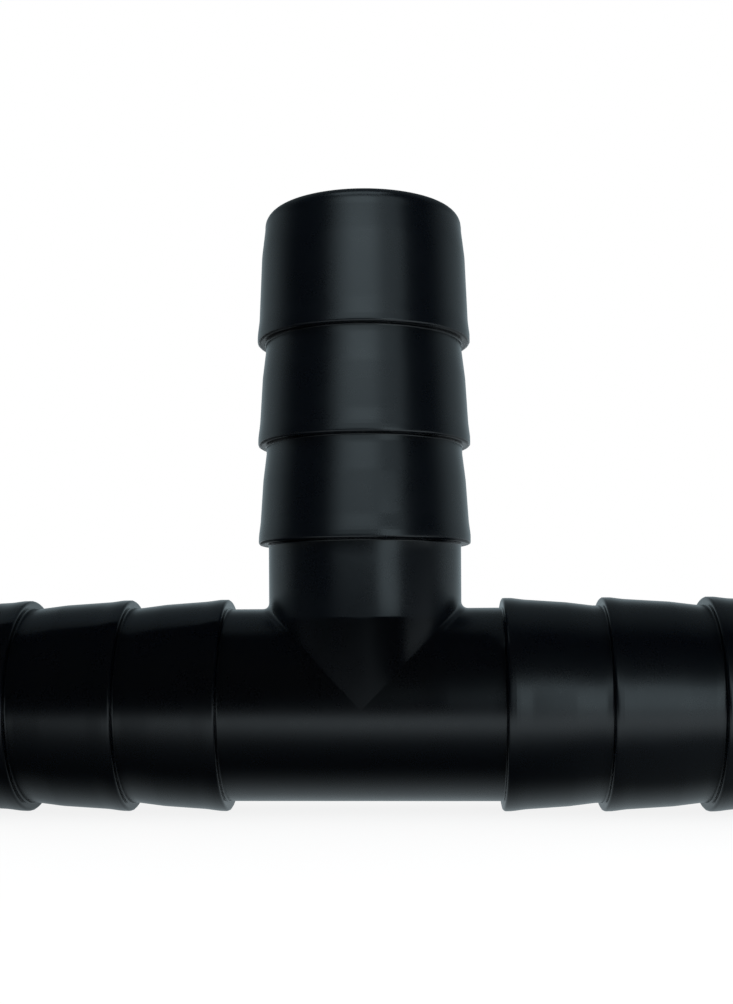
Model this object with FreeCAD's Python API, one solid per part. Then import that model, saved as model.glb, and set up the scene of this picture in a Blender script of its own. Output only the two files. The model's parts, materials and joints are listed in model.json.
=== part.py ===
import FreeCAD, Part
import math
import os

# Barbed tee for soft irrigation hose.  The run lies along X, the branch points up
# along +Z, and the origin is where the two bore axes cross.  Millimetres throughout.
#
# The real tee is one moulding.  It is kept here as its four zones, which meet face
# to face: the hub in the middle, and one barbed spigot on each leg.  A spigot starts
# at the back face of its first lip, so each joint face hides in that corner.

# ---- diameters ----
BORE_DIA = 11.0              # waterway through all three legs
STEM_DIA = 14.5              # plain barrels of the hub
ROOT_DIA = 14.75             # narrow end of a barb's flank
SHOULDER_DIA = 15.4          # where the steep lead-in turns into the slow flank
LIP_FOOT_DIA = 15.8          # end of the slow flank, just before the raised lip
LIP_DIA = 16.0               # sharp sealing lip, the widest place on the tee

# ---- lengths along a leg ----
RUN_STEM = 10.25             # crossing to the first lip, on the run
BRANCH_STEM = 12.05          # crossing to the first lip, on the branch
FIRST_PITCH = 7.4            # first lip to the second
PITCH_GROWTH = 0.3           # each further pitch is this much longer than the last
TIP_BARB = 9.7               # last lip to the mouth
BARBS = 3                    # barbs on each leg
LIP_LAND = 0.8               # cylindrical land at the top of a lip
LIP_RAMP = 0.45              # small ramp from the land down to the slow flank
LEAD_IN = 2.0                # steep part of a flank
ROOT_LAND = 0.55             # straight stretch between a flank and the next lip
NOSE_LAND = 1.15             # straight stretch between the last flank and the mouth

# ---- small edges ----
NOSE_ROUND = 0.95            # rounding outside the mouth
MOUTH_CHAMFER = 0.35         # chamfer inside the mouth
FOOT_FILLET = 0.5            # rounding where the branch grows out of the run
LIP_BREAK = 0.08             # broken edge at the back of a lip

PITCHES = [FIRST_PITCH + PITCH_GROWTH * barb for barb in range(BARBS - 1)]

ORIGIN = FreeCAD.Vector(0, 0, 0)
X_AXIS = FreeCAD.Vector(1, 0, 0)
Y_AXIS = FreeCAD.Vector(0, 1, 0)
Z_AXIS = FreeCAD.Vector(0, 0, 1)


def barb_outline(lip, flank_end):
    """(radius, station) points of one barb, from its lip's back face to the flank's end."""
    return [
        (LIP_DIA / 2 - LIP_BREAK, lip),
        (LIP_DIA / 2, lip + LIP_BREAK),
        (LIP_DIA / 2, lip + LIP_LAND),
        (LIP_FOOT_DIA / 2, lip + LIP_LAND + LIP_RAMP),
        (SHOULDER_DIA / 2, flank_end - LEAD_IN),
        (ROOT_DIA / 2, flank_end),
    ]


def mouth_edges(flank_end, mouth, bore_start):
    """Edges from the last flank round the nose and down to the start of the bore."""
    nose = ROOT_DIA / 2
    bore = BORE_DIA / 2
    turn = NOSE_ROUND * (1 - math.sqrt(0.5))
    nose_foot = FreeCAD.Vector(nose, 0, mouth - NOSE_ROUND)
    nose_middle = FreeCAD.Vector(nose - turn, 0, mouth - turn)
    nose_top = FreeCAD.Vector(nose - NOSE_ROUND, 0, mouth)
    chamfer_top = FreeCAD.Vector(bore + MOUTH_CHAMFER, 0, mouth)
    chamfer_foot = FreeCAD.Vector(bore, 0, mouth - MOUTH_CHAMFER)
    return [
        Part.LineSegment(flank_end, nose_foot).toShape(),
        Part.Arc(nose_foot, nose_middle, nose_top).toShape(),
        Part.LineSegment(nose_top, chamfer_top).toShape(),
        Part.LineSegment(chamfer_top, chamfer_foot).toShape(),
        Part.LineSegment(chamfer_foot, bore_start).toShape(),
    ]


def spigot(first_lip):
    """A barbed spigot that stands along +Z, its first lip at the given height."""
    outline = [(BORE_DIA / 2, first_lip)]
    lip = first_lip
    for pitch in PITCHES:
        outline += barb_outline(lip, lip + pitch - ROOT_LAND)
        lip += pitch
        outline.append((ROOT_DIA / 2, lip))
    mouth = lip + TIP_BARB
    outline += barb_outline(lip, mouth - NOSE_LAND)

    points = [FreeCAD.Vector(radius, 0, station) for radius, station in outline]
    edges = [Part.LineSegment(a, b).toShape() for a, b in zip(points, points[1:])]
    edges += mouth_edges(points[-1], mouth, points[0])
    section = Part.Face(Part.Wire(edges))
    return section.revolve(ORIGIN, Z_AXIS, 360)


def barrels(diameter):
    """The run's and the branch's cylinders of one diameter, fused, out to the first lips."""
    run_end = FreeCAD.Vector(-RUN_STEM, 0, 0)
    run = Part.makeCylinder(diameter / 2, 2 * RUN_STEM, run_end, X_AXIS)
    branch = Part.makeCylinder(diameter / 2, BRANCH_STEM, ORIGIN, Z_AXIS)
    return run.fuse(branch).removeSplitter()


def hub():
    """The crossing: plain barrels, rounded where the branch meets the run, and bored."""
    body = barrels(STEM_DIA)
    creases = [edge for edge in body.Edges if isinstance(edge.Curve, Part.Ellipse)]
    return body.makeFillet(FOOT_FILLET, creases).cut(barrels(BORE_DIA))


def save(name, shape):
    shape.exportStep(os.path.join("parts", name + ".step"))


os.makedirs("parts", exist_ok=True)

right_spigot = spigot(RUN_STEM)
right_spigot.rotate(ORIGIN, Y_AXIS, 90)
left_spigot = spigot(RUN_STEM)
left_spigot.rotate(ORIGIN, Y_AXIS, -90)

save("hub", hub())
save("right_spigot", right_spigot)
save("left_spigot", left_spigot)
save("branch_spigot", spigot(BRANCH_STEM))
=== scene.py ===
"""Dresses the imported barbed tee: a smooth, finely rounded mesh for each zone of the moulding,
the finish of black moulded plastic, a white studio with soft panels, and the camera."""

import json
import math

import bmesh
import bpy
from mathutils import Matrix, Vector


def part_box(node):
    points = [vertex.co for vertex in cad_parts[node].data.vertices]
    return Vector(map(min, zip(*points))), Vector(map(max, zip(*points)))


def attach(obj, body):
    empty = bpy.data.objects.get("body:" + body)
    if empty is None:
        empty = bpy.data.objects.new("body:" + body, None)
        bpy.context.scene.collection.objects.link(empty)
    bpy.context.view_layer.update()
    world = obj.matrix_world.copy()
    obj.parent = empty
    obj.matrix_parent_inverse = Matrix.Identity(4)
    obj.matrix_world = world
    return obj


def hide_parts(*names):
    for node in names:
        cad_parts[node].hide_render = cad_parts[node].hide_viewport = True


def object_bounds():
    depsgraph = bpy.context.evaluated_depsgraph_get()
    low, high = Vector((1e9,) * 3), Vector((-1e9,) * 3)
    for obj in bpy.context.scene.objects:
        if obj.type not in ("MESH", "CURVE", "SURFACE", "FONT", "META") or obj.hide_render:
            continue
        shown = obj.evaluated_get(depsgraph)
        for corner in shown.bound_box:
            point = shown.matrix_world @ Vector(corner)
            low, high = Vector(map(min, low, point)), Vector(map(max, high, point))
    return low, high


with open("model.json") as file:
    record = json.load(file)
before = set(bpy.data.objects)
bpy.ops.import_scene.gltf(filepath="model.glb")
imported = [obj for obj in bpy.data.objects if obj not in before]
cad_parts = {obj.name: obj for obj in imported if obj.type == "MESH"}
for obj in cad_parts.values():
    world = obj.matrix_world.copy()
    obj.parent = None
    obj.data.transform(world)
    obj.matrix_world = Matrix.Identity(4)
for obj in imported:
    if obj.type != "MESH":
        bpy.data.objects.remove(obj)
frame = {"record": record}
cad_low, cad_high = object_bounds()

MM = 0.001

# ---- what the frame says ----
hub_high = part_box("hub")[1]
right_low, right_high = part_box("right_spigot")
run_bore = next(mount for mount in frame["record"]["mounts"] if mount["name"] == "run_bore")

RUN_STEM = hub_high.x                       # crossing to the first lip, on the run
BRANCH_STEM = hub_high.z                    # crossing to the first lip, on the branch
STEM_R = hub_high.y
SPIGOT_LENGTH = right_high.x - right_low.x  # first lip to the mouth
LIP_R = right_high.y
BORE_R = run_bore["dims"]["r_mm"] * MM

# ---- the barbs, with lips a little softer and slimmer than in the solids ----
PITCHES = (7.4 * MM, 7.7 * MM)   # first lip to the second, second to the third
ROOT_R = 7.375 * MM              # narrow end of a flank
SHOULDER_R = 7.63 * MM           # where the steep lead-in turns into the slow flank
LIP_FOOT_R = 7.85 * MM           # end of the slow flank, just before the raised lip
LIP_LAND = 0.6 * MM              # straight top of a lip
LIP_RAMP = 1.1 * MM              # from the land down to the slow flank
LEAD_IN = 2.0 * MM               # steep part of a flank
ROOT_LAND = 0.55 * MM            # straight stretch between a flank and the next lip
NOSE_LAND = 1.15 * MM            # straight stretch between the last flank and the mouth
MOUTH_CHAMFER = 0.35 * MM        # inside of the mouth
FOOT_FILLET = 0.5 * MM           # where the branch grows out of the run

# ---- roundings ----
LIP_EDGE = 0.22 * MM             # back corner of a lip
LIP_FRONT = 4.0 * MM             # front corner of a lip's land
RAMP_FOOT = 6.0 * MM             # hollow where the ramp meets the flank
SHOULDER_EDGE = 5.0 * MM         # between the slow flank and the lead-in
FLANK_END = 2.0 * MM             # hollow where the lead-in meets the root
ROOT_CORNER = 0.12 * MM          # hollow at the foot of a lip's back face
NOSE_ROUND = 0.95 * MM           # outside of the mouth
MOUTH_EDGE = 0.08 * MM           # corners of the mouth's chamfer

# ---- the mould's parting line, a low ridge in the plane of the three axes ----
SEAM_HEIGHT = 0.02 * MM
SEAM_WIDTH = 0.06 * MM

# ---- fineness of the meshes ----
ROUND_STEP = math.radians(9)     # turn of one facet of a small rounding
SUPPORT = 0.03 * MM              # loop beside each rounding, which keeps flats flat
LONG_ENOUGH = 6 * SUPPORT        # shortest straight stretch that gets such loops
STRETCH = 1.2 * MM               # longest facet along a leg
QUARTER = 44                     # facets in a quarter turn, beyond those at the parting line
SEAM_ANGLES = [math.radians(d) for d in (0.0, 0.18, 0.36, 0.54, 0.72, 0.95, 1.3, 1.8)]
HUB_ROWS = 10                    # facets along a barrel of the hub
FLARE_STEPS = 5                  # facets of the hollow at the end of a barrel
FILLET_STEPS = 6                 # facets of the rounding at the branch's foot
WELD = 0.0001 * MM

# ---- the finishes of a piece, in the order of its material slots ----
OUTER_FINISH = 0
BORE_FINISH = 1


# ======================= mesh helpers =======================

def rounded(corners):
    """Points of an outline whose corners, (radius, station, rounding), become tangent arcs."""
    points = []
    for i, (r, s, rounding) in enumerate(corners):
        here = Vector((r, s))
        if rounding == 0:
            points.append(here)
            continue
        before = (Vector(corners[i - 1][:2]) - here).normalized()
        after = (Vector(corners[i + 1][:2]) - here).normalized()
        turn = math.pi - before.angle(after)
        centre = here + (before + after).normalized() * rounding / math.cos(turn / 2)
        first_spoke = here + before * rounding * math.tan(turn / 2) - centre
        clockwise = before.x * after.y - before.y * after.x > 0
        steps = max(2, math.ceil(turn / ROUND_STEP))
        for k in range(steps + 1):
            angle = turn * k / steps * (-1 if clockwise else 1)
            points.append(centre + Matrix.Rotation(angle, 2) @ first_spoke)
    return points


def supported(points):
    """The outline with stretches cut up, and a point close beside each end of every long one."""
    out = [points[0]]
    for a, b in zip(points, points[1:]):
        length = (b - a).length
        if length > LONG_ENOUGH:
            step = (b - a) / length * SUPPORT
            parts = max(2, round(length / STRETCH))
            out.append(a + step)
            out += [a.lerp(b, k / parts) for k in range(1, parts)]
            out.append(b - step)
        out.append(b)
    return out


def quarter_angles():
    """Angles over a quarter turn, close together beside the parting line at zero."""
    rest = math.pi / 2 - SEAM_ANGLES[-1]
    return SEAM_ANGLES + [SEAM_ANGLES[-1] + rest * k / QUARTER for k in range(1, QUARTER + 1)]


def full_turn():
    """Angles round a barrel with parting lines at 0 and 180 degrees."""
    quarter = quarter_angles()
    half = quarter + [math.pi - a for a in reversed(quarter[:-1])]
    return half + [a + math.pi for a in half[1:-1]]


def seam_rise(across):
    """Height of the parting line's ridge at a distance from its middle."""
    return SEAM_HEIGHT * math.exp(-((across / SEAM_WIDTH) ** 2))


def fill(bm, rows, finish):
    """Faces between neighbouring rows of vertices."""
    for a, b in zip(rows, rows[1:]):
        for k in range(len(a) - 1):
            face = bm.faces.new((a[k], a[k + 1], b[k + 1], b[k]))
            face.material_index = finish


def new_piece(name, bm, finishes):
    """Turns the bmesh into the piece that stands for the CAD zone of the same name."""
    mesh = bpy.data.meshes.new(name + "_skin")
    bmesh.ops.remove_doubles(bm, verts=bm.verts, dist=WELD)
    bmesh.ops.recalc_face_normals(bm, faces=bm.faces)
    for face in bm.faces:
        face.smooth = True
    bm.to_mesh(mesh)
    bm.free()
    for finish in finishes:
        mesh.materials.append(finish)
    piece = bpy.data.objects.new(name + "_skin", mesh)
    bpy.context.scene.collection.objects.link(piece)
    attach(piece, "root")
    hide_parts(name)
    return piece


# ======================= the barbed spigots =======================

def barb_corners(lip, flank_end):
    """Corners of one barb, from the lip's back corner out to the end of its flank."""
    return [
        (LIP_R, lip, LIP_EDGE),
        (LIP_R, lip + LIP_LAND, LIP_FRONT),
        (LIP_FOOT_R, lip + LIP_LAND + LIP_RAMP, RAMP_FOOT),
        (SHOULDER_R, flank_end - LEAD_IN, SHOULDER_EDGE),
        (ROOT_R, flank_end, FLANK_END),
    ]


def spigot_outline():
    """Closed outline of a spigot's wall, with stations counted from its first lip."""
    corners = [(BORE_R, 0.0, 0)]
    lip = 0.0
    for pitch in PITCHES:
        corners += barb_corners(lip, lip + pitch - ROOT_LAND)
        lip += pitch
        corners.append((ROOT_R, lip, ROOT_CORNER))
    corners += barb_corners(lip, SPIGOT_LENGTH - NOSE_LAND)
    corners += [
        (ROOT_R, SPIGOT_LENGTH, NOSE_ROUND),
        (BORE_R + MOUTH_CHAMFER, SPIGOT_LENGTH, MOUTH_EDGE),
        (BORE_R, SPIGOT_LENGTH - MOUTH_CHAMFER, MOUTH_EDGE),
        (BORE_R, 0.0, 0),
    ]
    return supported(rounded(corners))[:-1]


def build_spigot(name, start, direction, finishes):
    """Revolves the outline about +Z, then turns it to its leg and sets it at its hub face."""
    outline = spigot_outline()
    angles = full_turn()
    outside = BORE_R + MOUTH_CHAMFER + MOUTH_EDGE
    bm = bmesh.new()
    rings = []
    for r, s in outline:
        ring = []
        for a in angles:
            rise = seam_rise(r * math.sin(a)) if r > outside else 0.0
            out = min(r + rise, LIP_R)
            ring.append(bm.verts.new((out * math.cos(a), out * math.sin(a), s)))
        rings.append(ring)
    for i, ring in enumerate(rings):
        n = (i + 1) % len(rings)
        in_bore = max(outline[i].x, outline[n].x) < BORE_R + MOUTH_EDGE
        closed = ([*ring, ring[0]], [*rings[n], rings[n][0]])
        fill(bm, closed, BORE_FINISH if in_bore else OUTER_FINISH)
    turn = Vector((0, 0, 1)).rotation_difference(direction).to_matrix().to_4x4()
    place = Matrix.Translation(direction * start) @ turn
    bmesh.ops.transform(bm, matrix=place, verts=bm.verts)
    return new_piece(name, bm, finishes)


# ======================= the hub =======================

def barrel_line(start, end, flare):
    """(place, rise) pairs along a barrel from its free end back to the crossing. With a flare
    of 1 the barrel swells at its end into the hollow at the foot of the first lip."""
    along = (start - end) / (start - end).length
    pairs = []
    for k in range(FLARE_STEPS + 1 if flare else 1):
        turn = math.pi / 2 * k / FLARE_STEPS
        place = ROOT_CORNER * (1 - math.cos(turn))
        pairs.append((end + along * place, ROOT_CORNER * (1 - math.sin(turn)) * flare))
    first = pairs[-1][0]
    pairs += [(first.lerp(start, k / HUB_ROWS), 0.0) for k in range(1, HUB_ROWS)]
    return pairs


def upper_row(radius, fillet, flare, angle):
    """(place, outward, rise) from the run's end over the crossing to the branch's end."""
    side, front = radius * math.cos(angle), -radius * math.sin(angle)
    reach = (radius + fillet) * math.cos(angle)
    ball = Vector((reach, front * (1 + fillet / radius), reach))
    on_run = Vector((reach, front, side))
    on_branch = Vector((side, front, reach))
    run_out = Vector((0, front, side)) / radius
    branch_out = Vector((side, front, 0)) / radius
    run_line = barrel_line(on_run, Vector((RUN_STEM, front, side)), flare)
    branch_line = barrel_line(on_branch, Vector((side, front, BRANCH_STEM)), flare)
    row = [(p, run_out, rise) for p, rise in run_line]
    row.append((on_run, run_out, 0.0))
    for k in range(1, FILLET_STEPS if fillet else 0):
        first_spoke = (on_run - ball).normalized()
        spoke = first_spoke.slerp((on_branch - ball).normalized(), k / FILLET_STEPS)
        row.append((ball + spoke * fillet, -spoke, 0.0))
    row.append((on_branch, branch_out, 0.0))
    row += [(p, branch_out, rise) for p, rise in reversed(branch_line)]
    return row


def lower_row(radius, flare, angle):
    """(place, outward, rise) under the run, from the run's end to the middle."""
    side, front = -radius * math.cos(angle), -radius * math.sin(angle)
    out = Vector((0, front, side)) / radius
    middle = Vector((0, front, side))
    row = [
        (p, out, rise)
        for p, rise in barrel_line(middle, Vector((RUN_STEM, front, side)), flare)
    ]
    row.append((middle, out, 0.0))
    return row


def hub_surface(radius, fillet, flare):
    """Upper and lower rows of points on one quarter of two crossing barrels, x and -y positive.
    With a flare of 1 it also carries the parting line."""
    upper = [upper_row(radius, fillet, flare, a) for a in quarter_angles()]
    lower = [lower_row(radius, flare, a) for a in reversed(quarter_angles())]

    def raised(place, out, rise):
        return place + out * (rise + (seam_rise(place.y) if flare else 0.0))

    return [[[raised(*entry) for entry in row] for row in rows] for rows in (upper, lower)]


def build_hub(finishes):
    """Two crossing barrels, rounded where they meet, and their bores, from mirrored quarters."""
    bm = bmesh.new()
    skin = hub_surface(STEM_R, FOOT_FILLET, 1.0)
    bore = hub_surface(BORE_R, 0.0, 0.0)
    for x_side in (1, -1):
        for y_side in (1, -1):
            mirror = Matrix.Diagonal((x_side, y_side, 1))
            ends = []
            for surface, finish in ((skin, OUTER_FINISH), (bore, BORE_FINISH)):
                upper, lower = [
                    [[bm.verts.new(mirror @ p) for p in row] for row in rows] for rows in surface
                ]
                fill(bm, upper, finish)
                fill(bm, lower, finish)
                ends.append([[r[0] for r in upper], [r[0] for r in lower], [r[-1] for r in upper]])
            for outer_and_inner_end in zip(*ends):
                fill(bm, outer_and_inner_end, OUTER_FINISH)
    return new_piece("hub", bm, finishes)


# ======================= material helpers =======================

NODE_SPACING = 200
WHITE = (1, 1, 1, 1)
BLACK = (0, 0, 0, 1)


def new_material(name):
    """A material with nodes, and its node tree."""
    material = bpy.data.materials.new(name)
    material.use_nodes = True
    return material, material.node_tree


def node(tree, kind, **settings):
    """A new node, to the right of those that are there."""
    made = tree.nodes.new(kind)
    made.location.x = NODE_SPACING * len(tree.nodes)
    for key, value in settings.items():
        setattr(made, key, value)
    return made


def feed(tree, value, socket):
    """Links an output to the socket, or sets the socket to a plain value."""
    if isinstance(value, bpy.types.NodeSocket):
        tree.links.new(value, socket)
    else:
        socket.default_value = value


def maths(tree, operation, a, b):
    """A Math node on two values or sockets."""
    made = node(tree, "ShaderNodeMath", operation=operation)
    feed(tree, a, made.inputs[0])
    feed(tree, b, made.inputs[1])
    return made.outputs["Value"]


def ramp(tree, value, low, high):
    """0 below low and 1 above high, with a soft step between."""
    made = node(tree, "ShaderNodeMapRange", interpolation_type="SMOOTHSTEP")
    tree.links.new(value, made.inputs["Value"])
    made.inputs["From Min"].default_value = low
    made.inputs["From Max"].default_value = high
    return made.outputs["Result"]


def mixed(tree, factor, first, second):
    """A colour that is the first at 0 and the second at 1."""
    made = node(tree, "ShaderNodeMix", data_type="RGBA")
    feed(tree, first, made.inputs["A"])
    feed(tree, second, made.inputs["B"])
    tree.links.new(factor, made.inputs["Factor"])
    return made.outputs["Result"]


def axes_of(tree, space):
    """Outputs X, Y and Z of a place in the given space."""
    place = node(tree, "ShaderNodeTexCoord")
    axes = node(tree, "ShaderNodeSeparateXYZ")
    tree.links.new(place.outputs[space], axes.inputs["Vector"])
    return axes.outputs


# ======================= finishes =======================

PLASTIC_IOR = 1.5
PLASTIC_TONES = ((0.0003, 0.0011, 0.0028, 1), (0.0006, 0.0019, 0.0044, 1))
PATCH_SHARE = 0.7                # of the unevenness; the rest is fine grain


def skin_group():
    """Surface of a moulding: slow waves from shrinkage, a fine peel, and uneven gloss."""
    group = bpy.data.node_groups.new("Moulded skin", "ShaderNodeTree")
    for name, value in (
        ("Peel Height", 0.002), ("Wave Height", 0.02), ("Gloss", 0.3), ("Gloss Spread", 0.1)
    ):
        made = group.interface.new_socket(name, in_out="INPUT", socket_type="NodeSocketFloat")
        made.default_value = value
    for name in ("Height", "Roughness", "Tone"):
        group.interface.new_socket(name, in_out="OUTPUT", socket_type="NodeSocketFloat")
    given = node(group, "NodeGroupInput")
    place = node(group, "ShaderNodeTexCoord")
    in_mm = node(group, "ShaderNodeVectorMath", operation="SCALE")
    in_mm.inputs["Scale"].default_value = 1 / MM
    group.links.new(place.outputs["Object"], in_mm.inputs[0])

    def noise(scale, detail, roughness):
        made = node(group, "ShaderNodeTexNoise")
        made.inputs["Scale"].default_value = scale
        made.inputs["Detail"].default_value = detail
        made.inputs["Roughness"].default_value = roughness
        group.links.new(in_mm.outputs["Vector"], made.inputs["Vector"])
        return made.outputs["Fac"]

    waves = noise(scale=0.16, detail=1.5, roughness=0.4)
    peel = noise(scale=2.6, detail=2.0, roughness=0.5)
    patches = noise(scale=0.45, detail=4.0, roughness=0.6)
    grain = noise(scale=5.5, detail=3.0, roughness=0.6)
    waves = maths(group, "MULTIPLY", waves, given.outputs["Wave Height"])
    peel = maths(group, "MULTIPLY", peel, given.outputs["Peel Height"])
    patches = maths(group, "MULTIPLY", patches, PATCH_SHARE)
    grain = maths(group, "MULTIPLY", grain, 1 - PATCH_SHARE)
    uneven = maths(group, "ADD", patches, grain)
    about_zero = maths(group, "SUBTRACT", uneven, 0.5)
    spread = maths(group, "MULTIPLY", about_zero, given.outputs["Gloss Spread"])
    out = node(group, "NodeGroupOutput")
    group.links.new(maths(group, "ADD", waves, peel), out.inputs["Height"])
    group.links.new(maths(group, "ADD", spread, given.outputs["Gloss"]), out.inputs["Roughness"])
    group.links.new(uneven, out.inputs["Tone"])
    return group


def plastic(name, group, gloss, gloss_spread, peel, waves):
    """Black moulded plastic. Peel and waves are heights in millimetres."""
    material, tree = new_material(name)
    shader = tree.nodes["Principled BSDF"]
    shader.inputs["IOR"].default_value = PLASTIC_IOR
    skin = node(tree, "ShaderNodeGroup", node_tree=group)
    skin.inputs["Peel Height"].default_value = peel
    skin.inputs["Wave Height"].default_value = waves
    skin.inputs["Gloss"].default_value = gloss
    skin.inputs["Gloss Spread"].default_value = gloss_spread
    bump = node(tree, "ShaderNodeBump")
    bump.inputs["Distance"].default_value = MM
    tone = mixed(tree, skin.outputs["Tone"], *PLASTIC_TONES)
    tree.links.new(tone, shader.inputs["Base Color"])
    tree.links.new(skin.outputs["Roughness"], shader.inputs["Roughness"])
    tree.links.new(skin.outputs["Height"], bump.inputs["Height"])
    tree.links.new(bump.outputs["Normal"], shader.inputs["Normal"])
    return material


moulded_skin = skin_group()
finishes = (
    plastic(
        "black moulded plastic", moulded_skin,
        gloss=0.28, gloss_spread=0.1, peel=0.001, waves=0.015,
    ),
    plastic(
        "core pin finish", moulded_skin,
        gloss=0.24, gloss_spread=0.08, peel=0.0008, waves=0.01,
    ),
)

build_hub(finishes)
build_spigot("right_spigot", RUN_STEM, Vector((1, 0, 0)), finishes)
build_spigot("left_spigot", RUN_STEM, Vector((-1, 0, 0)), finishes)
build_spigot("branch_spigot", BRANCH_STEM, Vector((0, 0, 1)), finishes)


# ======================= studio sheets =======================

# A white paper floor, and dark shades for the plastic's gloss to mirror. The outlines of the
# sheets are in millimetres.

DAYLIGHT = (0.74, 0.92, 1.0)
PAPER_LIFT = 0.86                # share of the paper's white that doesn't need lamps
PAPER_IN_GLOSS = (0.92, 1.08, 1.16)
PAPER_ROUGHNESS = 0.9

FLOOR_Z = cad_low.z / MM
FAR = 900
FLOOR = ((-FAR, -FAR), (FAR, -FAR), (FAR, FAR), (-FAR, FAR))

# A painted shade laid over the paper and seen only in the plastic's gloss: it darkens the mirrored
# floor beside the tee.
FLOOR_SHADE_LIFT = 0.05                # above the paper
FLOOR_SHADE_BACK = 250                 # half the width of its back edge, and how far back it lies
FLOOR_SHADE_OUTLINE = (
    (-FAR, -FAR), (FAR, -FAR), (FAR, 0), (FLOOR_SHADE_BACK, FLOOR_SHADE_BACK), (-FLOOR_SHADE_BACK, FLOOR_SHADE_BACK),
    (-FAR, 0),
)
# how much paper shows through the painted floor shade, from front to back: (y, share)
FLOOR_UNSHADED_SHARE = (
    (-130, 0.0), (-90, 0.0), (-70, 0.08), (-58, 0.26), (-46, 0.52), (-37, 0.82), (-29, 1.0),
    (-23, 0.8), (-18, 0.4), (-14.5, 0.16), (-12, 0.08), (-8, 0.03), (-6.5, 0.03), (-5, 0.16),
    (-4, 0.35), (-3, 0.5), (-1, 0.6), (10, 0.5), (30, 0.3), (60, 0.3),
)
FLOOR_UNSHADED_LEFT = 0.28                             # share of that which is left at the far left
FLOOR_UNSHADED_LEFT_STEP = (-55 * MM, -5 * MM)         # x over which it grows to the whole
FLOOR_SHADE_SLANT = 0.2                             # how far the bands on the left swing forward
FLOOR_SHADE_SLANT_STEP = (10 * MM, 28 * MM)         # distance in front over which the slant sets in
FLOOR_UNSHADED_RIGHT = 0.15                            # least share at the far right
FLOOR_UNSHADED_RIGHT_STEP = (2 * MM, 32 * MM)          # x over which it sets in
FLOOR_SHADE_GAP_NEAR = (20 * MM, 38 * MM)        # the window on the right opens over this stretch
FLOOR_SHADE_GAP_FAR = (56 * MM, 82 * MM)         # and closes over this one

FRONT_CARD_Z = 6.6
FRONT_CARD = (
    (-160, -97), (25, -97), (11.5, -12), (9.2, -4.8), (5.9, -4.8), (3.8, -6.6), (0, -7.6),
    (-3.8, -6.6), (-5.9, -4.8), (-160, -4.8),
)
ARM_CARD_Z = 12
ARM_CARD = ((9, -24), (70, -24), (70, -6), (9, -6))
LOW_FLAG_X = 6.2
LOW_FLAG_Y = (-40, -9)
LOW_FLAG_Z = (0, 6.6)

CARD_GLOW = 0.24                              # light on the far end of the cards
CARD_GLOW_FORWARD = (8 * MM, 38 * MM)         # distance in front over which it sets in
CARD_GLOW_RIGHTWARD = (-4 * MM, 5 * MM)       # x over which it sets in


def sheet(name, corners, material):
    """A flat sheet of the studio, with its corners in millimetres."""
    mesh = bpy.data.meshes.new(name)
    mesh.from_pydata([Vector(corner) * MM for corner in corners], [], [range(len(corners))])
    mesh.materials.append(material)
    made = bpy.data.objects.new(name, mesh)
    bpy.context.scene.collection.objects.link(made)
    return made


def level(outline, z):
    """Corners of a level sheet that faces up."""
    return [(x, y, z) for x, y in outline]


def upright(x, y, z):
    """Corners of an upright sheet across x that faces to the right, between two y and two z."""
    return [(x, y[0], z[0]), (x, y[1], z[0]), (x, y[1], z[1]), (x, y[0], z[1])]


def gloss_only(shade):
    """The shade shows in the plastic's gloss, and elsewhere at most by its shadow."""
    shade.visible_camera = False
    shade.visible_diffuse = False
    shade.visible_transmission = False


def lay_over(tree, share, under, over):
    """Finishes the material with one shader over another, in the given share."""
    both = node(tree, "ShaderNodeMixShader")
    tree.links.new(share, both.inputs["Fac"])
    tree.links.new(under, both.inputs[1])
    tree.links.new(over, both.inputs[2])
    tree.links.new(both.outputs["Shader"], tree.nodes["Material Output"].inputs["Surface"])


def paper():
    """White paper, which reads as plain white and still takes the tee's shadow."""
    material, tree = new_material("white paper")
    shader = tree.nodes["Principled BSDF"]
    shader.inputs["Base Color"].default_value = (1 - PAPER_LIFT, 1 - PAPER_LIFT, 1 - PAPER_LIFT, 1)
    shader.inputs["Roughness"].default_value = PAPER_ROUGHNESS
    shader.inputs["Specular IOR Level"].default_value = 0.0
    path = node(tree, "ShaderNodeLightPath")
    light = mixed(tree, path.outputs["Is Camera Ray"], (*PAPER_IN_GLOSS, 1), WHITE)
    tree.links.new(light, shader.inputs["Emission Color"])
    seen = maths(tree, "MAXIMUM", path.outputs["Is Camera Ray"], path.outputs["Is Glossy Ray"])
    seen = maths(tree, "MAXIMUM", seen, path.outputs["Is Transmission Ray"])
    tree.links.new(maths(tree, "MULTIPLY", seen, PAPER_LIFT), shader.inputs["Emission Strength"])
    return material


def black_card(name, glow):
    """A black painted shade on the back, with a faint painted glow far out to the right, and clear
    from the front.
    """
    material, tree = new_material(name)
    axes = axes_of(tree, "Object")
    in_front = maths(tree, "MULTIPLY", axes["Y"], -1)
    far_out = ramp(tree, in_front, *CARD_GLOW_FORWARD)
    to_the_right = ramp(tree, axes["X"], *CARD_GLOW_RIGHTWARD)
    glow_strength = maths(tree, "MULTIPLY", maths(tree, "MULTIPLY", far_out, to_the_right), glow)
    # the back: black painted shade, with a painted glow (emission) that grows far out to the right
    painted_shade_shader = node(tree, "ShaderNodeEmission")
    painted_shade_shader.inputs["Color"].default_value = (*DAYLIGHT, 1)
    tree.links.new(glow_strength, painted_shade_shader.inputs["Strength"])
    clear = node(tree, "ShaderNodeBsdfTransparent")
    side = node(tree, "ShaderNodeNewGeometry")
    back = side.outputs["Backfacing"]
    lay_over(tree, back, clear.outputs["BSDF"], painted_shade_shader.outputs["Emission"])
    return material


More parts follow.
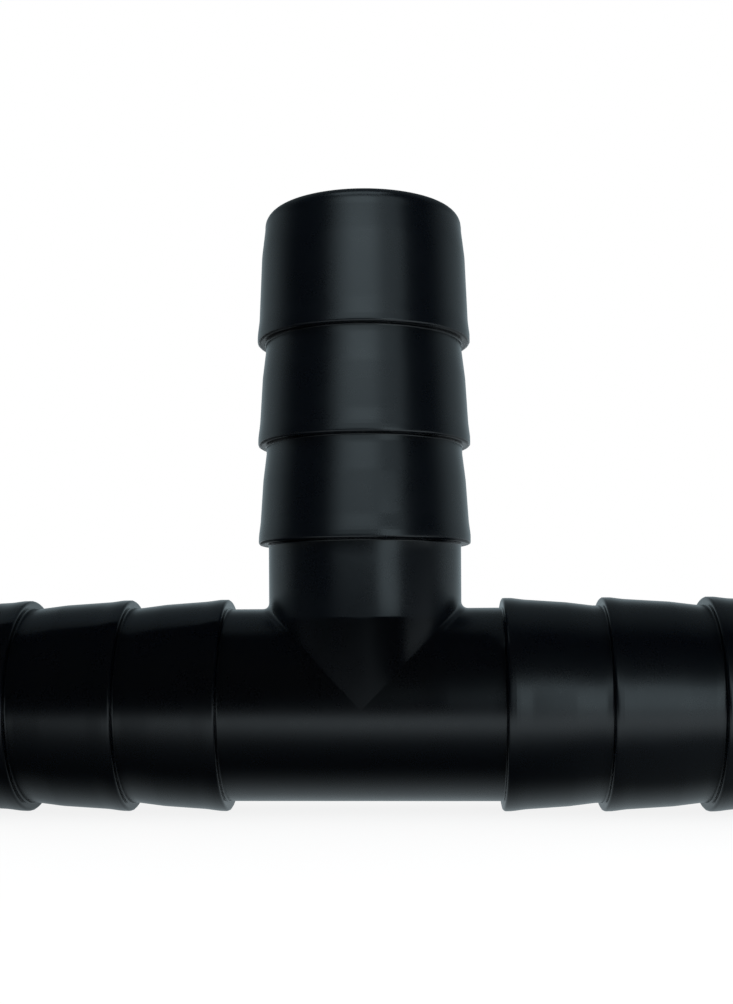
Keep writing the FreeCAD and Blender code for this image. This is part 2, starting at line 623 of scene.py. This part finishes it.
def bare_along(tree, y):
    """Share of bare paper along y, from the stops of FLOOR_UNSHADED_SHARE."""
    first, last = FLOOR_UNSHADED_SHARE[0][0], FLOOR_UNSHADED_SHARE[-1][0]
    span = node(tree, "ShaderNodeMapRange")
    span.inputs["From Min"].default_value = first * MM
    span.inputs["From Max"].default_value = last * MM
    tree.links.new(y, span.inputs["Value"])
    shade_ramp = node(tree, "ShaderNodeValToRGB")
    tree.links.new(span.outputs["Result"], shade_ramp.inputs["Fac"])
    stops = shade_ramp.color_ramp.elements
    for k, (stop_y, bare) in enumerate(FLOOR_UNSHADED_SHARE):
        where = (stop_y - first) / (last - first)
        between = 0 < k < len(FLOOR_UNSHADED_SHARE) - 1
        stop = stops.new(where) if between else stops[0 if k == 0 else -1]
        stop.position = where
        stop.color = (bare, bare, bare, 1)
    return shade_ramp.outputs["Color"]


def painted_floor_shade():
    """Painted shade on the paper, seen only in the plastic's gloss: dense beside the tee, thin in
    front of it, dense again far off.
    """
    material, tree = new_material("painted floor shade")
    axes = axes_of(tree, "Object")
    in_front = maths(tree, "MULTIPLY", axes["Y"], -1)
    slant = maths(tree, "MULTIPLY", ramp(tree, in_front, *FLOOR_SHADE_SLANT_STEP), FLOOR_SHADE_SLANT)
    swing = maths(tree, "MULTIPLY", maths(tree, "MINIMUM", axes["X"], 0), slant)
    bare = bare_along(tree, maths(tree, "SUBTRACT", axes["Y"], swing))
    grown = maths(tree, "MULTIPLY", ramp(tree, axes["X"], *FLOOR_UNSHADED_LEFT_STEP), 1 - FLOOR_UNSHADED_LEFT)
    bare = maths(tree, "MULTIPLY", bare, maths(tree, "ADD", grown, FLOOR_UNSHADED_LEFT))
    opened = ramp(tree, in_front, *FLOOR_SHADE_GAP_NEAR)
    window = maths(tree, "SUBTRACT", opened, ramp(tree, in_front, *FLOOR_SHADE_GAP_FAR))
    window = maths(tree, "ADD", window, FLOOR_UNSHADED_RIGHT)
    window = maths(tree, "MULTIPLY", window, ramp(tree, axes["X"], *FLOOR_UNSHADED_RIGHT_STEP))
    bare = maths(tree, "MAXIMUM", bare, window)
    painted_shade_shader = node(tree, "ShaderNodeBsdfDiffuse")
    painted_shade_shader.inputs["Color"].default_value = BLACK
    clear = node(tree, "ShaderNodeBsdfTransparent")
    lay_over(tree, bare, painted_shade_shader.outputs["BSDF"], clear.outputs["BSDF"])
    return material


sheet("floor", level(FLOOR, FLOOR_Z), paper())
# painted shade on the floor as the plastic mirrors it, darkest beside the tee
floor_shade = sheet("floor shade in gloss", level(FLOOR_SHADE_OUTLINE, FLOOR_Z + FLOOR_SHADE_LIFT), painted_floor_shade())
gloss_only(floor_shade)
floor_shade.visible_shadow = False
# dark cards seen only in the plastic's gloss: painted shade in its reflections, with a faint
# painted glow far out on the two level ones
for name, corners, glow in (
    ("front card", level(FRONT_CARD, FRONT_CARD_Z), CARD_GLOW),
    ("right arm card", level(ARM_CARD, ARM_CARD_Z), CARD_GLOW),
    ("low flag", upright(LOW_FLAG_X, LOW_FLAG_Y, LOW_FLAG_Z), 0.0),
):
    gloss_only(sheet(name, corners, black_card(name, glow)))


# ======================= room and lamps =======================

# What the plastic mirrors of the room. Steps are over the direction's Y (to the back) or Z (up).
ROOM_FRONT = 0.02                # from all round
ROOM_BACK = 0.42                 # more from the back half
ROOM_BACK_STEP = (-0.15, 0.45)
BACKDROP = 0.2                   # and more from straight behind
BACKDROP_STEP = (0.7, 0.97)
OVERHEAD_SHADE = 0.75            # share of those two that is gone overhead
OVERHEAD_STEP = (0.2, 0.65)

# soft boxes in front of the tee: name, x and z from and to, distance in millimetres, radiance
SOFT_BOXES = (
    ("front panel, rim", (-66, 26), (15, 150), 98, 0.45),
    ("front panel", (-45, 36), (26, 110), 99, 0.68),
    ("front panel, middle", (-26, 34), (58, 100), 100, 0.75),
    ("right panel", (34, 88), (-7, 42), 101, 1.65),
    ("right panel, upper", (34, 112), (53, 150), 102, 0.75),
)
TOP_PANEL_SIZE = (90, 68)
TOP_PANEL_PLACE = (-4, -57, 150)
TOP_PANEL_RADIANCE = 1.2


def light_room():
    """Even white light, with a dim room in its place wherever the plastic mirrors it."""
    world = bpy.data.worlds.new("studio")
    bpy.context.scene.world = world
    world.use_nodes = True
    world.cycles.sampling_method = "NONE"
    tree = world.node_tree
    axes = axes_of(tree, "Generated")
    back = maths(tree, "MULTIPLY", ramp(tree, axes["Y"], *ROOM_BACK_STEP), ROOM_BACK)
    backdrop = maths(tree, "MULTIPLY", ramp(tree, axes["Y"], *BACKDROP_STEP), BACKDROP)
    walls = maths(tree, "ADD", back, backdrop)
    overhead = maths(tree, "MULTIPLY", ramp(tree, axes["Z"], *OVERHEAD_STEP), OVERHEAD_SHADE)
    walls = maths(tree, "MULTIPLY", walls, maths(tree, "SUBTRACT", 1, overhead))
    walls = maths(tree, "ADD", walls, ROOM_FRONT)
    tinted = node(tree, "ShaderNodeVectorMath", operation="SCALE")
    tinted.inputs[0].default_value = DAYLIGHT
    tree.links.new(walls, tinted.inputs["Scale"])
    path = node(tree, "ShaderNodeLightPath")
    light = mixed(tree, path.outputs["Is Glossy Ray"], WHITE, tinted.outputs["Vector"])
    tree.links.new(light, tree.nodes["Background"].inputs["Color"])


def light_sheet(name, width, depth, radiance):
    """An even rectangle of light that shines down until it is turned."""
    lamp = bpy.data.lights.new(name, "AREA")
    lamp.shape = "RECTANGLE"
    lamp.size = width * MM
    lamp.size_y = depth * MM
    lamp.energy = radiance * math.pi * lamp.size * lamp.size_y
    lamp.color = DAYLIGHT
    panel = bpy.data.objects.new(name, lamp)
    panel.visible_camera = False
    bpy.context.scene.collection.objects.link(panel)
    return panel


def soft_box(name, x, z, distance, radiance):
    """A sheet of even light in front of the tee, between two x and two z in millimetres."""
    panel = light_sheet(name, x[1] - x[0], z[1] - z[0], radiance)
    panel.location = (sum(x) / 2 * MM, -distance * MM, sum(z) / 2 * MM)
    panel.rotation_euler = (math.radians(90), 0, 0)


light_room()
for box in SOFT_BOXES:
    soft_box(*box)
top_panel = light_sheet("top panel", *TOP_PANEL_SIZE, TOP_PANEL_RADIANCE)
top_panel.location = [along * MM for along in TOP_PANEL_PLACE]


# ======================= camera =======================

EYE = Vector((4.54 * MM, -97.57 * MM, 5.71 * MM))
LOOK_LEFT = math.radians(2.61)
LEAN = math.radians(-0.32)
LENS = 46.25                     # millimetres, on a sensor 36 wide
SENSOR = 36
RISE = 0.1266                    # the view is shifted up by this share of its longer side
NEAREST = 1 * MM


def set_camera():
    """A level camera that looks a little to the left, shifted up instead of tilted."""
    level_right = Vector((math.cos(LOOK_LEFT), math.sin(LOOK_LEFT), 0))
    forward = Vector((-math.sin(LOOK_LEFT), math.cos(LOOK_LEFT), 0))
    upward = Vector((0, 0, 1))
    right = level_right * math.cos(LEAN) + upward * math.sin(LEAN)
    top = upward * math.cos(LEAN) - level_right * math.sin(LEAN)
    turn = Matrix((right, top, -forward)).transposed().to_4x4()
    data = bpy.data.cameras.new("camera")
    data.sensor_width = SENSOR
    data.lens = LENS
    data.shift_y = RISE
    data.clip_start = NEAREST
    camera = bpy.data.objects.new("camera", data)
    bpy.context.scene.collection.objects.link(camera)
    camera.matrix_world = Matrix.Translation(EYE) @ turn
    bpy.context.scene.camera = camera


set_camera()
bpy.context.scene.view_settings.view_transform = "Standard"
